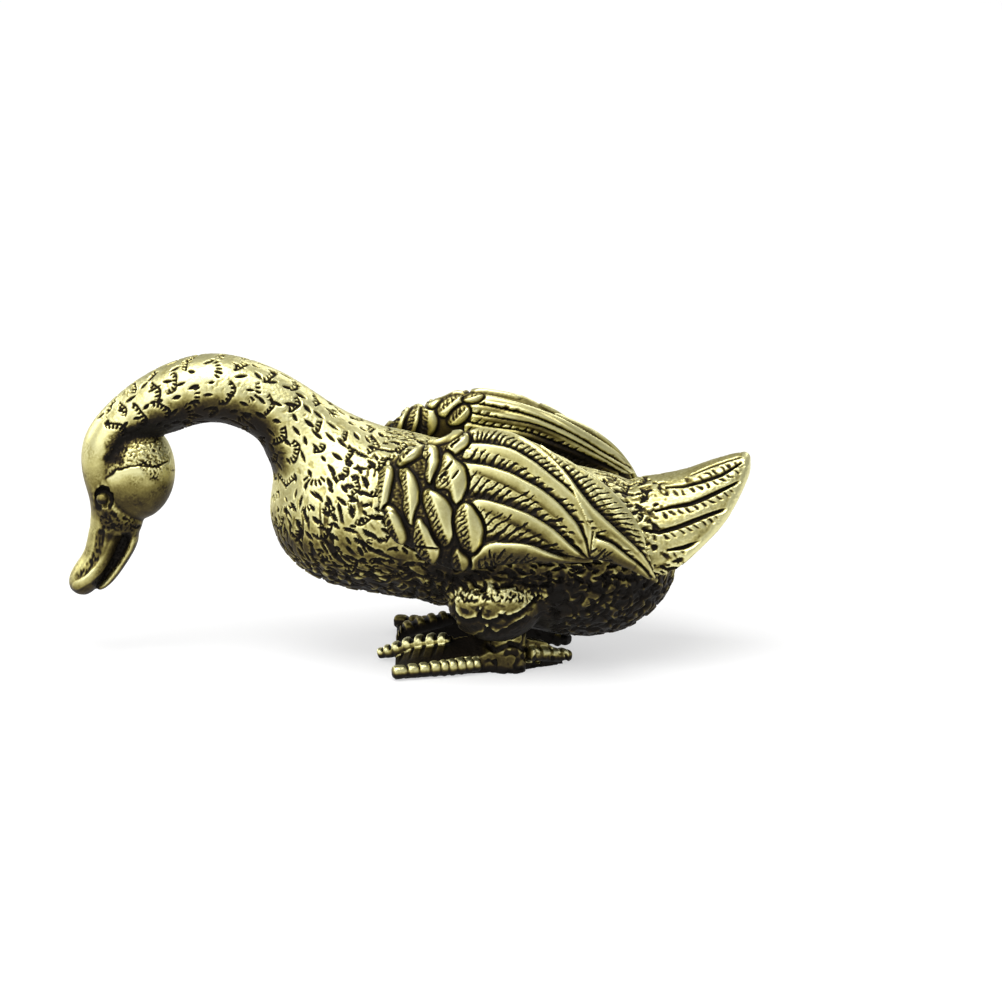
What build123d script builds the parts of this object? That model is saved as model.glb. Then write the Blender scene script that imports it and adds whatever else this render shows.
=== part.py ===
from build123d import *
import math
import os

# A solid brass duck that stands on both feet with its neck arched forward and its bill pointing down.
# It faces -X, its left side is -Y, and +Z is up. The feet stand on Z = 0.
# Lengths are millimetres, angles are degrees.

# Torso: an egg that lies along X, with the breast in front and the rump behind
torso_length = 31.8
torso_height = 13.4
torso_width = 15.0
belly_clearance = 1.7

# Neck: an arch from the top of the breast to the nape
neck_diameter = 5.3
neck_reach = 14.6
neck_rise = 4.65

# Head: a narrow face in front of a round cheek
head_drop = 8.6
face_depth = 3.0
face_width = 4.0
cheek_length = 6.2
cheek_height = 7.9
cheek_width = 5.5

# Eyes: beads that sit in open sockets
eye_diameter = 0.9
socket_diameter = 1.7
socket_depth = 0.55

# Bill: two halves that stand a little apart, with a web between them
bill_drop = 5.0
bill_depth = 2.5
bill_width = 3.3
lower_bill_depth = 0.85
mouth_web_width = 1.1

# Wings: raised leaf-shaped masses on the flanks, their ridges above the back
wing_length = 21.7
wing_depth = 11.0
wing_thickness = 4.7

# Feathers of a wing: long bands on both its sides, and short round leaves at the front of its outer side
feather_width = 1.5
feather_height = 0.45
inner_feather_width = 0.9
inner_feather_height = 0.35
leaf_length = 4.2
leaf_width = 1.9
leaf_height = 0.42

# Tail: a hood over the rump that runs out to a rounded point
tail_length = 9.13
tail_width = 10.4
tail_height = 8.8

# Legs
thigh_length = 7.4
thigh_height = 6.2
thigh_width = 5.8
shank_length = 2.7
shank_width = 2.3

# Feet: a sloping web between two beaded front toes, and a short hind toe
foot_length = 10.1
foot_width = 5.5
foot_height = 2.7
toe_diameter = 1.2
hind_toe_length = 4.3

# Counts
oval_steps = 12
outer_toe_beads = 9
inner_toe_beads = 8
hind_toe_beads = 4

# Stations from the rump to the neck root: how far back from the breast (of the torso length), height of the
# centre above the belly (of the torso height), depth (of the torso height), width (of the torso width), lean
torso_shares = [
    (1.000, 0.452, 0.070, 0.060, 0),
    (0.991, 0.455, 0.270, 0.240, 0),
    (0.967, 0.463, 0.490, 0.440, 0),
    (0.906, 0.478, 0.790, 0.715, 0),
    (0.812, 0.485, 0.955, 0.893, 0),
    (0.655, 0.541, 0.993, 0.987, 0),
    (0.498, 0.627, 0.955, 1.000, 6),
    (0.365, 0.697, 0.945, 0.987, 19),
    (0.242, 0.766, 1.010, 0.933, 33),
    (0.173, 0.871, 0.955, 0.840, 44),
    (0.145, 0.989, 0.821, 0.700, 54),
    (0.114, 1.125, 0.590, 0.530, 54.5),
]

# Stations of the neck beyond its root: forward (of the reach), up (of the rise), diameter share, lean
neck_shares = [
    (0.090, 0.316, 1.204, 50),
    (0.197, 0.628, 1.040, 35),
    (0.349, 0.880, 1.008, 21),
    (0.505, 1.000, 1.010, 3),
    (0.673, 0.931, 0.992, -14),
    (0.798, 0.766, 0.955, -28),
    (1.000, 0.385, 0.792, -53),
]

# Stations of the face below the nape: forward and down (of the head drop), depth and width shares, lean
face_shares = [
    (0.181, 0.206, 1.200, 1.070, -72),
    (0.222, 0.430, 1.030, 1.020, -88),
    (0.158, 0.693, 1.030, 0.980, -92),
    (0.095, 0.879, 1.350, 0.930, -90),
    (0.117, 0.996, 1.270, 0.870, -87),
]

# Centre of the cheek behind and below the nape, and of the eye on the face, of the head drop
cheek_place_share = (0.081, 0.430)
eye_place_share = (-0.212, 0.644)

# Stations of the upper bill below its root: forward and down (of the drop), depth and width shares, lean
upper_bill_shares = [
    (0.126, -0.030, 1.050, 0.880, -87),
    (0.218, 0.282, 0.930, 0.820, -78),
    (0.320, 0.522, 0.930, 0.920, -68),
    (0.444, 0.732, 0.960, 1.000, -64),
    (0.544, 0.900, 0.780, 0.820, -62),
    (0.610, 0.974, 0.280, 0.360, -62),
]

# Stations of the lower bill, with the same meaning
lower_bill_shares = [
    (-0.280, -0.040, 1.100, 0.780, -87),
    (-0.248, 0.266, 0.950, 0.760, -78),
    (-0.140, 0.458, 0.900, 0.740, -68),
    (0.024, 0.698, 0.850, 0.700, -60),
    (0.192, 0.878, 0.700, 0.560, -55),
    (0.262, 0.930, 0.400, 0.300, -55),
]

# Stations of the web behind the mouth, its depth a share of the bill depth
mouth_web_shares = [
    (-0.100, -0.040, 0.800, 1.000, -87),
    (-0.030, 0.280, 0.780, 1.000, -78),
    (0.070, 0.500, 0.760, 1.000, -68),
    (0.220, 0.720, 0.720, 0.950, -64),
    (0.330, 0.850, 0.500, 0.700, -60),
]

# Stations of a wing from its front: back (of its length), ridge and lower edge (of its depth), their places
# sideways (of half the torso width) and thickness share
wing_shares = [
    (0.004, 0.682, 0.609, 0.853, 0.933, 0.10),
    (0.029, 0.738, 0.375, 0.827, 1.040, 0.40),
    (0.083, 0.806, 0.235, 0.800, 1.120, 0.65),
    (0.197, 0.912, 0.080, 0.780, 1.187, 0.88),
    (0.323, 1.000, 0.003, 0.773, 1.170, 1.00),
    (0.419, 0.992, 0.035, 0.773, 1.170, 1.00),
    (0.516, 0.950, 0.059, 0.773, 1.170, 0.97),
    (0.611, 0.848, 0.075, 0.787, 1.170, 0.92),
    (0.697, 0.740, 0.086, 0.813, 1.187, 0.85),
    (0.784, 0.626, 0.080, 0.890, 1.147, 0.76),
    (0.859, 0.504, 0.034, 0.940, 1.100, 0.63),
    (0.917, 0.368, -0.020, 0.960, 1.060, 0.50),
    (0.956, 0.186, -0.055, 0.940, 1.010, 0.36),
    (0.980, 0.070, -0.075, 0.910, 0.960, 0.25),
    (0.997, -0.030, -0.086, 0.880, 0.920, 0.12),
]
wing_front_share = 0.263
wing_base_share = 0.530

# Lines of the long feathers: how far back (of the wing's length) and how high on the wing's side, from its
# lower edge at -1 to its ridge at 1
outer_feather_shares = [
    [(0.34, -0.86), (0.41, -0.67), (0.51, -0.69), (0.58, -0.78), (0.67, -0.92)],
    [(0.34, -0.08), (0.40, -0.06), (0.47, -0.15), (0.55, -0.27), (0.62, -0.44), (0.68, -0.69), (0.72, -0.86)],
    [(0.32, 0.46), (0.40, 0.43), (0.48, 0.34), (0.57, 0.21), (0.65, 0.02), (0.70, -0.23), (0.73, -0.55)],
    [(0.34, 0.76), (0.43, 0.73), (0.51, 0.68), (0.59, 0.56), (0.67, 0.40), (0.73, 0.19), (0.755, -0.10)],
    [(0.52, 0.98), (0.60, 0.90), (0.67, 0.74), (0.74, 0.50), (0.81, 0.16), (0.87, 0.02), (0.93, 0.00)],
    [(0.79, -0.45), (0.84, -0.45), (0.88, -0.52), (0.92, -0.60)],
    [(0.64, 0.99), (0.70, 0.97), (0.77, 0.93), (0.84, 0.80), (0.90, 0.72), (0.95, 0.60)],
]
inner_feather_shares = [
    [(0.33, 0.90), (0.44, 0.86), (0.55, 0.87), (0.66, 0.90), (0.76, 0.94)],
    [(0.34, 0.77), (0.45, 0.72), (0.56, 0.76), (0.67, 0.80), (0.78, 0.83)],
    [(0.34, 0.62), (0.45, 0.56), (0.56, 0.59), (0.67, 0.62), (0.78, 0.66), (0.86, 0.72)],
]
band_end_share = 0.45

# Leaves: place on the outer side as for the long feathers, length and width shares, lean from the horizontal
leaf_shares = [
    (0.040, 0.07, 0.90, 0.75, 84),
    (0.125, 0.03, 1.05, 0.80, 95),
    (0.075, -0.80, 0.80, 0.80, 111),
    (0.176, -0.70, 0.90, 1.00, 108),
    (0.193, 0.60, 0.80, 0.75, 90),
    (0.130, 0.88, 0.62, 0.60, 46),
    (0.290, 0.84, 0.62, 0.65, 40),
    (0.268, 0.31, 0.95, 1.25, 101),
    (0.232, -0.23, 1.10, 1.00, 110),
    (0.330, -0.35, 0.96, 1.10, 98),
]

# Stations of the tail from its root: back (of its length), ridge and margin (of its height), width share
tail_shares = [
    (0.000, 0.750, 0.000, 1.000),
    (0.222, 0.790, 0.011, 1.000),
    (0.396, 0.824, 0.080, 0.960),
    (0.522, 0.868, 0.188, 0.885),
    (0.689, 0.935, 0.341, 0.750),
    (0.827, 0.980, 0.507, 0.600),
    (0.939, 0.994, 0.700, 0.380),
    (0.986, 0.972, 0.790, 0.220),
    (1.000, 0.935, 0.850, 0.080),
]
tail_root_share = 0.891
tail_base_share = 0.440
tail_hollow_share = 0.70
tail_tip_stations = 3

# Place of the thigh on the torso, and of the shank below the thigh
thigh_back_share = 0.556
thigh_side_share = 0.347
thigh_up_share = 0.300
shank_back_share = 0.136
shank_side_share = 0.103

# Stations of the web from the ankle: forward (of the foot length), outer and inner edge (of the foot width),
# height of the outer and the inner edge (of the foot height)
web_shares = [
    (-0.10, 0.14, -0.14, 0.80, 0.85),
    (0.15, 0.13, -0.17, 0.60, 1.00),
    (0.28, 0.16, -0.21, 0.40, 0.96),
    (0.54, 0.30, -0.29, 0.28, 0.78),
    (0.72, 0.39, -0.37, 0.20, 0.60),
    (0.93, 0.47, -0.48, 0.15, 0.20),
]

# Centre lines of the toes from the ankle: forward (of the foot length), outward (of the foot width) and up (of
# the foot height)
outer_toe_shares = [(0.28, 0.16, 0.32), (0.94, 0.53, 0.17)]
inner_toe_shares = [(0.45, -0.25, 0.82), (0.72, -0.38, 0.62), (0.98, -0.50, 0.17)]
hind_toe_side_share = 0.42
hind_toe_up_shares = (0.46, 0.19)
toe_tip_share = 0.85

# Outline of the heel behind the shank: back (of the hind toe's length) and up (of the foot height)
heel_shares = [(0, 0), (0, 1.05), (0.62, 0.74), (0.95, 0.28), (0.95, 0)]
heel_thickness_share = 0.75


def station(forward_x, up_z, lean):
    """Plane across a form that runs towards the head, leaned back by the given angle."""
    turn = math.radians(lean)
    across = (-math.cos(turn), 0, math.sin(turn))
    return Plane(origin=(forward_x, 0, up_z), x_dir=(0, -1, 0), z_dir=across)


def oval_curve(plane, width, depth, first_turn, last_turn, steps):
    """Points on an oval, always from the same side, so that a loft through ovals never twists."""
    points = []
    for index in range(steps + 1):
        turn = math.radians(first_turn + (last_turn - first_turn) * index / steps)
        points.append(plane.from_local_coords((width / 2 * math.cos(turn), depth / 2 * math.sin(turn), 0)))
    return points


def oval(plane, width, depth):
    points = oval_curve(plane, width, depth, 0, 360, oval_steps)
    return make_face(Spline(points[:-1], periodic=True))


def arch(plane, width, height):
    """Upper half of an oval, closed by a straight line."""
    points = oval_curve(plane, width, 2 * height, 0, 180, oval_steps)
    return make_face([Spline(points), Line(points[-1], points[0])])


def egg(length, width, height):
    return scale(Sphere(1), by=(length / 2, width / 2, height / 2))


def opposite(shape):
    return mirror(shape, about=Plane.XZ)


def torso_point(back_share, up_share):
    return back_share * torso_length, belly_clearance + up_share * torso_height


neck_root = torso_point(*torso_shares[-1][:2])
nape = (neck_root[0] - neck_reach, neck_root[1] + neck_shares[-1][1] * neck_rise)
bill_root = (nape[0] - face_shares[-1][0] * head_drop, nape[1] - face_shares[-1][1] * head_drop)


def trunk_sections():
    """Ovals from the rump over the back and the neck's arch to the root of the bill."""
    for back, up, depth, width, lean in torso_shares:
        yield oval(station(*torso_point(back, up), lean), width * torso_width, depth * torso_height)
    for forward, up, size, lean in neck_shares:
        place = station(neck_root[0] - forward * neck_reach, neck_root[1] + up * neck_rise, lean)
        yield oval(place, size * neck_diameter, size * neck_diameter)
    for forward, down, depth, width, lean in face_shares:
        place = station(nape[0] - forward * head_drop, nape[1] - down * head_drop, lean)
        yield oval(place, width * face_width, depth * face_depth)


def cut_trunk():
    """The trunk is one smooth form, parted at the neck root and at the nape."""
    trunk = loft(list(trunk_sections()))
    torso = split(trunk, bisect_by=station(*neck_root, torso_shares[-1][-1]), keep=Keep.BOTTOM)
    rest = split(trunk, bisect_by=station(*neck_root, torso_shares[-1][-1]), keep=Keep.TOP)
    neck = split(rest, bisect_by=station(*nape, neck_shares[-1][-1]), keep=Keep.BOTTOM)
    face = split(rest, bisect_by=station(*nape, neck_shares[-1][-1]), keep=Keep.TOP)
    return torso, neck, face


def bill_half(shares, depth_size, width_size):
    sections = []
    for forward, down, depth, width, lean in shares:
        place = station(bill_root[0] - forward * bill_drop, bill_root[1] - down * bill_drop, lean)
        sections.append(oval(place, width * width_size, depth * depth_size))
    return loft(sections)


def wing_section(back):
    """Middle of the left wing's section, rise from there to its ridge, and thickness."""
    first, last = next(pair for pair in zip(wing_shares, wing_shares[1:]) if back <= pair[1][0])
    part = (back - first[0]) / (last[0] - first[0])
    ridge, edge, ridge_side, edge_side, thick = (a + (b - a) * part for a, b in zip(first[1:], last[1:]))
    front, base = torso_point(wing_front_share, wing_base_share)
    top = Vector(front + back * wing_length, -ridge_side * torso_width / 2, base + ridge * wing_depth)
    low = Vector(front + back * wing_length, -edge_side * torso_width / 2, base + edge * wing_depth)
    return (top + low) * 0.5, (top - low) * 0.5, thick * (wing_thickness - 2 * feather_height)


def wing_mass():
    """The smooth mass that the feathers lie on."""
    sections = []
    for back, *_ in wing_shares:
        middle, rise, thick = wing_section(back)
        place = Plane(origin=middle, x_dir=rise.cross(Vector(-1, 0, 0)), z_dir=(-1, 0, 0))
        sections.append(oval(place, thick, 2 * rise.length))
    return loft(sections)


def wing_surface(back, up, side):
    """Place on the mass and the direction out of it, on its outer side with side 1, on its inner with -1."""
    middle, rise, thick = wing_section(back)
    out = rise.cross(Vector(-1, 0, 0)).normalized() * side
    bulge = math.sqrt(1 - up * up)
    place = middle + rise * up + out * (bulge * thick / 2)
    return place, out * (2 * bulge / thick) + rise * (up / rise.length**2)


def wing_band(points, side, width, height):
    """A long feather, half sunk into the mass, widest in the middle of its length."""
    places = [wing_surface(back, up, side) for back, up in points]
    last = len(places) - 1
    sections = []
    for index, (place, out) in enumerate(places):
        run = places[min(index + 1, last)][0] - places[max(index - 1, 0)][0]
        size = band_end_share + (1 - band_end_share) * math.sin(math.pi * index / last)
        plane = Plane(origin=place, x_dir=run.cross(out), z_dir=run)
        sections.append(oval(plane, size * width, size * 2 * height))
    return loft(sections)


def wing_leaf(back, up, length, width, lean):
    """A short feather like a flat egg, half sunk into the mass."""
    place, out = wing_surface(back, up, 1)
    turn = math.radians(lean)
    along = Vector(math.cos(turn), 0, math.sin(turn))
    flat = Plane(origin=place, x_dir=along - out * (along.dot(out) / out.dot(out)), z_dir=out)
    return flat * egg(length * leaf_length, width * leaf_width, 2 * leaf_height)


def wing_form():
    """The left wing as a whole, before the torso is cut out of it."""
    feathers = [wing_leaf(*shares) for shares in leaf_shares]
    for points in outer_feather_shares:
        feathers.append(wing_band(points, 1, feather_width, feather_height))
    for points in inner_feather_shares:
        feathers.append(wing_band(points, -1, inner_feather_width, inner_feather_height))
    return wing_mass() + feathers


def tail_form():
    """A hood over the rump, open underneath, its tip solid."""
    root, base = torso_point(tail_root_share, tail_base_share)
    outside = []
    inside = []
    for back, ridge, margin, width in tail_shares:
        place = station(root + back * tail_length, base + margin * tail_height, 0)
        across = width * tail_width
        rise = (ridge - margin) * tail_height
        outside.append(arch(place, across, rise))
        inside.append(oval(place, across * tail_hollow_share, 2 * rise * tail_hollow_share))
    return loft(outside) - loft(inside[:-tail_tip_stations])


def eye_place(inset):
    """Middle of the left socket, or a place further in from the side of the face."""
    back, down = eye_place_share
    return Pos(nape[0] + back * head_drop, inset - face_width / 2, nape[1] - down * head_drop)


def head_form(face, neck):
    back, down = cheek_place_share
    place = Pos(nape[0] + back * head_drop, 0, nape[1] - down * head_drop)
    head = face + place * egg(cheek_length, cheek_width, cheek_height) - neck
    socket = eye_place(0) * egg(socket_diameter, 2 * socket_depth, socket_diameter)
    return head - socket - opposite(socket)


def lower_bill_form():
    """The lower half and the web that joins it to the upper half inside the mouth."""
    half = bill_half(lower_bill_shares, lower_bill_depth, bill_width)
    return half + bill_half(mouth_web_shares, bill_depth, mouth_web_width)


def thigh_place():
    back, up = torso_point(thigh_back_share, thigh_up_share)
    return Vector(back, -thigh_side_share * torso_width, up)


def ankle_place():
    thigh = thigh_place()
    return Vector(thigh.X + shank_back_share * thigh_length, thigh.Y + shank_side_share * thigh_width, 0)


def foot_point(share):
    forward, outward, up = share
    ankle = ankle_place()
    return ankle + Vector(-forward * foot_length, -outward * foot_width, up * foot_height)


def beaded_toe(points, count):
    """Beads in a row along a toe's centre line, the last one smaller, flat underneath."""
    path = Polyline(points)
    beads = []
    for index in range(count):
        size = toe_diameter * (toe_tip_share if index == count - 1 else 1)
        along = (index + 0.5) / count
        place = Plane(origin=path @ along, z_dir=path % along)
        beads.append(place * Sphere(size / 2))
    return split(beads[0] + beads[1:], bisect_by=Plane.XY, keep=Keep.TOP)


def hind_run():
    """From the ankle to below the tip of the hind toe."""
    return Vector(hind_toe_length, hind_toe_side_share * foot_width, 0)


def toe_forms():
    root_up, tip_up = (Vector(0, 0, share * foot_height) for share in hind_toe_up_shares)
    hind_root = ankle_place() + Vector(shank_length / 2, 0, 0) + root_up
    hind_tip = ankle_place() + hind_run() + tip_up
    return {
        "outer_toe": beaded_toe([foot_point(share) for share in outer_toe_shares], outer_toe_beads),
        "inner_toe": beaded_toe([foot_point(share) for share in inner_toe_shares], inner_toe_beads),
        "hind_toe": beaded_toe([hind_root, hind_tip], hind_toe_beads),
    }


def heel_form():
    """A low upright wall that carries the hind toe."""
    run = hind_run()
    wall = Plane(origin=ankle_place(), x_dir=run, z_dir=run.cross(Vector(0, 0, 1)))
    corners = [(back * run.length, up * foot_height) for back, up in heel_shares]
    side = wall * make_face(Polyline(corners, close=True))
    return extrude(side, heel_thickness_share * toe_diameter / 2, both=True)


def foot_form():
    """The shank, the heel and the sloping web between the front toes."""
    sections = []
    for forward, outer, inner, outer_up, inner_up in web_shares:
        corners = [
            foot_point((forward, outer, 0)),
            foot_point((forward, outer, outer_up)),
            foot_point((forward, inner, inner_up)),
            foot_point((forward, inner, 0)),
        ]
        sections.append(make_face(Polyline(corners, close=True)))
    shank = extrude(Pos(ankle_place()) * Ellipse(shank_length / 2, shank_width / 2), thigh_place().Z)
    return loft(sections, ruled=True) + shank + heel_form()


def left_forms():
    """The forms of the left side, whole, each before its neighbours are cut out of it."""
    return {
        "eye": eye_place(socket_depth / 2) * Sphere(eye_diameter / 2),
        "wing": wing_form(),
        "thigh": Pos(thigh_place()) * egg(thigh_length, thigh_width, thigh_height),
        **toe_forms(),
        "foot": foot_form(),
    }


def fitted(forms):
    """Each form without the forms that come before it, so that neighbours meet face to face."""
    solids = {}
    for name, form in forms.items():
        box = form.bounding_box()
        for other in solids.values():
            if box.overlaps(other.bounding_box()):
                form = form - other
        solids[name] = form
    return solids


def main():
    torso, neck, face = cut_trunk()
    forms = {
        "body": torso,
        "neck": neck,
        "head": head_form(face, neck),
        "upper_bill": bill_half(upper_bill_shares, bill_depth, bill_width),
        "lower_bill": lower_bill_form(),
    }
    for name, form in left_forms().items():
        forms[f"left_{name}"] = form
        forms[f"right_{name}"] = opposite(form)
    forms["tail"] = tail_form()
    solids = fitted(forms)
    boxes = [solid.bounding_box() for solid in solids.values()]
    front = min(box.min.X for box in boxes)
    rear = max(box.max.X for box in boxes)
    os.makedirs("parts", exist_ok=True)
    for name, solid in solids.items():
        export_step(Pos(-(front + rear) / 2, 0, 0) * solid, f"parts/{name}.step")


main()
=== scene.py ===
"""A small antique brass duck, cast in one piece, standing on a plain white floor.

Lengths are in millimetres in the row frame until a mesh is made, which is in metres. The relief is carved by
moving the points of dense meshes along their normals. Its outlines are given in pixels of a picture of
1002 x 1002, seen from the duck's left side and 15 degrees from above.
"""
import math

import bpy
import numpy as np
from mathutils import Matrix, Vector
from mathutils.kdtree import KDTree


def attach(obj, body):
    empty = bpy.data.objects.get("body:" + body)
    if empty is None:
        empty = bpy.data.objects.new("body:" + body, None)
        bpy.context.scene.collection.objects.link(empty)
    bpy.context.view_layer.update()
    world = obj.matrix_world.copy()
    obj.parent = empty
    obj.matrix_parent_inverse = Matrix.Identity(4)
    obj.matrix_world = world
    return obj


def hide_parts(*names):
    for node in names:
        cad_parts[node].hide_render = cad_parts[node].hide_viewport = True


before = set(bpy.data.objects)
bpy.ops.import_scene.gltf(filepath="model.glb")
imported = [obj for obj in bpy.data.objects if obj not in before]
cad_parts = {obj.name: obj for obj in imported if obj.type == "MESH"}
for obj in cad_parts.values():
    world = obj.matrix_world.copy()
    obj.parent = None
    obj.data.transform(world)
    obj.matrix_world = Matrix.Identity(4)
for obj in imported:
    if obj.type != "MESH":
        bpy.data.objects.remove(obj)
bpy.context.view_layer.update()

# Picture: pixels per millimetre, where X = 0 and Z = 0 lie, and how far the camera looks down
PIXELS_PER_MM = 12.87
PIXEL_X0 = 409.0
PIXEL_Y0 = 654.7
IMAGE_SIZE = 1002
ELEVATION = math.radians(15)

MM_PER_M = 1000
TINY = 1e-9
# Size of the meshes' cells against the finest ones
DETAIL = 1.0

# Seed of all noise and random draws, and the numbers that mix the noise's cells
SEED = 7
HASH_START = 374761393
HASH_PRIMES = (73856093, 19349663, 83492791)
HASH_FACTOR = 1103515245
HASH_STEP = 12345
# Points that are tried at most when marks are scattered
MOST_TRIES = 60000

# Rounds of smoothing from which fine forms, broad ones and the relief stand out, and rounds for the seams
FINE_ROUNDS, BROAD_ROUNDS, LEVEL_ROUNDS = 10, 45, 60
SEAM_ROUNDS = 100

# Centre line of the trunk from the rump over the neck's arch to the bill, as X, Z
CENTRE_LINE = [
    (20.9, 8.1), (15.0, 8.1), (10.0, 8.9), (5.0, 10.1), (0.7, 11.0), (-3.2, 12.1), (-5.4, 13.5), (-6.4, 15.1),
    (-7.3, 16.8), (-8.6, 18.3), (-10.2, 19.7), (-12.4, 20.9), (-14.7, 21.4), (-17.1, 21.1), (-18.9, 20.3),
    (-21.9, 18.6), (-23.4, 16.8), (-23.8, 14.9), (-23.4, 12.6), (-23.3, 11.0), (-22.9, 10.0),
]
NECK_ROOT = 8
NAPE = 15
# Over what square of a distance the line's pieces blend
FLOW_BLEND = 6.0
# X of the head's rear end and of the thigh's middle
HEAD_X = -17.2
THIGH_X = 6.8

# Flight feathers of the outer side: upper edge, lower edge, width of the smooth shaft, spacing of the barbs
WING_LOW = [(466, 572), (500, 570), (520, 568), (547, 566), (574, 563), (592, 562)]
SHAFT_1 = [(468, 562), (480, 547), (492, 541), (507, 542), (518, 542), (531, 544), (539, 547), (550, 552),
           (564, 557), (577, 558), (592, 560)]
SHAFT_2 = [(470, 503), (476, 498), (487, 499), (497, 502), (507, 505), (518, 509), (531, 514), (542, 521),
           (552, 527), (560, 534), (568, 542), (577, 550), (588, 559)]
SHAFT_3 = [(461, 462), (472, 463), (487, 465), (500, 469), (512, 473), (523, 479), (535, 485), (543, 490),
           (552, 497), (560, 504), (568, 513), (577, 523), (581, 532), (585, 540), (589, 557)]
SHAFT_4 = [(470, 443), (485, 443), (497, 445), (507, 447), (517, 451), (527, 457), (535, 462), (545, 470),
           (556, 479), (564, 485), (571, 492), (578, 498), (585, 507), (590, 515), (592, 525), (591, 542),
           (590, 557)]
SHAFT_5 = [(466, 433), (475, 428), (485, 426), (500, 428), (513, 432), (527, 439), (540, 448), (548, 454),
           (556, 461), (563, 469), (571, 479), (578, 489), (585, 498), (592, 507), (597, 522), (594, 542)]
REAR_LOW = [(588, 562), (617, 568), (644, 578), (653, 583)]
SHAFT_6 = [(592, 536), (602, 539), (610, 542), (618, 548), (626, 555), (636, 562), (644, 569), (653, 581)]
SHAFT_7 = [(563, 469), (571, 479), (578, 489), (590, 505), (604, 518), (615, 528), (626, 538), (636, 547),
           (645, 557), (655, 575)]
SHAFT_8 = [(540, 444), (548, 449), (562, 457), (577, 465), (594, 475), (614, 492), (630, 510), (642, 530),
           (652, 556), (658, 576)]
FLIGHT_FEATHERS = [
    (SHAFT_1, WING_LOW, 8.0, 9.0), (SHAFT_2, SHAFT_1, 10.0, 9.5), (SHAFT_3, SHAFT_2, 10.5, 9.5),
    (SHAFT_4, SHAFT_3, 10.0, 8.5), (SHAFT_5, SHAFT_4, 4.0, 6.5), (SHAFT_6, REAR_LOW, 8.0, 8.5),
    (SHAFT_7, SHAFT_6, 9.0, 7.5), (SHAFT_8, SHAFT_7, 3.5, 7.0),
]
# Lean of the barbs, greatest height of a feather, and where the coverts end to the right
BARB_SLANT = 0.72
HIGHEST = 1.3
COVERTS_END = 475
# Flight feathers of the inner side, seen across the back
INNER_1 = [(462, 396), (480, 392), (500, 396), (530, 404), (560, 415), (582, 428), (610, 444), (632, 460),
           (648, 474)]
INNER_2 = [(462, 404), (472, 403), (500, 409), (530, 415), (560, 427), (580, 437), (606, 453), (640, 472)]
INNER_3 = [(464, 412), (470, 413), (488, 417), (512, 421), (534, 424), (560, 434), (590, 449), (632, 473)]
INNER_4 = [(464, 422), (490, 427), (524, 431), (550, 441), (580, 453), (620, 472)]
INNER_LOW = [(464, 440), (500, 446), (540, 456), (580, 468), (620, 482)]
INNER_FEATHERS = [
    (INNER_1, INNER_2, 7.5, 12.0), (INNER_2, INNER_3, 5.5, 9.5), (INNER_3, INNER_4, 3.0, 8.0),
    (INNER_4, INNER_LOW, 2.5, 7.0),
]

# Coverts of the outer side, by their outlines
COVERTS = [
    [(377, 475), (381, 468), (388, 463), (394, 468), (394, 478), (392, 488), (390, 497), (388, 505),
     (384, 509), (379, 514), (376, 507), (377, 498), (376, 487)],
    [(400, 468), (407, 467), (414, 473), (418, 482), (420, 491), (420, 500), (417, 508), (413, 519),
     (411, 526), (407, 519), (404, 511), (403, 503), (405, 495), (402, 486), (400, 477)],
    [(384, 513), (389, 505), (395, 509), (400, 516), (403, 524), (406, 532), (407, 541), (403, 546),
     (396, 544), (390, 538), (385, 530), (382, 522)],
    [(417, 519), (422, 518), (425, 524), (432, 531), (437, 539), (440, 547), (440, 555), (437, 562),
     (432, 566), (423, 562), (417, 555), (414, 547), (413, 537), (415, 528)],
    [(428, 441), (435, 443), (439, 452), (438, 463), (434, 474), (432, 484), (427, 484), (425, 474),
     (429, 466), (427, 458), (421, 455), (422, 448)],
    [(396, 462), (403, 452), (412, 444), (420, 438), (423, 443), (420, 453), (415, 459), (408, 463),
     (400, 466)],
    [(447, 453), (447, 447), (453, 441), (459, 435), (463, 430), (468, 433), (470, 439), (467, 446),
     (459, 452), (452, 455)],
    [(425, 441), (438, 433), (450, 428), (459, 426), (464, 429), (456, 436), (446, 439), (436, 443)],
    [(443, 454), (450, 453), (455, 459), (463, 465), (468, 477), (467, 489), (463, 498), (458, 505),
     (453, 501), (452, 492), (447, 488), (440, 488), (435, 488), (436, 479), (441, 471), (443, 462)],
    [(425, 489), (432, 489), (441, 495), (450, 504), (454, 515), (456, 525), (454, 535), (450, 545),
     (444, 547), (439, 541), (434, 532), (430, 520), (425, 508), (423, 497)],
    [(464, 502), (470, 504), (476, 511), (481, 519), (484, 528), (483, 538), (479, 547), (474, 553),
     (467, 552), (461, 547), (458, 538), (456, 528), (455, 519), (457, 509)],
    [(456, 548), (462, 553), (468, 558), (470, 565), (465, 571), (457, 572), (453, 567), (452, 558)],
]
# Dark cuts in the coverts: two ends and a width, in pixels
COVERT_CUTS = [
    ((415, 546), (439, 548), 1.8), ((447, 470), (453, 462), 1.8), ((453, 479), (459, 471), 1.8),
    ((440, 478), (447, 472), 2.0), ((404, 455), (413, 448), 1.8), ((437, 439), (452, 433), 2.2),
    ((452, 446), (460, 440), 1.6), ((425, 463), (431, 455), 1.8),
]
# How far a covert reaches beyond its outline, and the width of its rounded shoulder
LEAF_RIM = 1.5
LEAF_SHOULDER = 6.5
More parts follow.
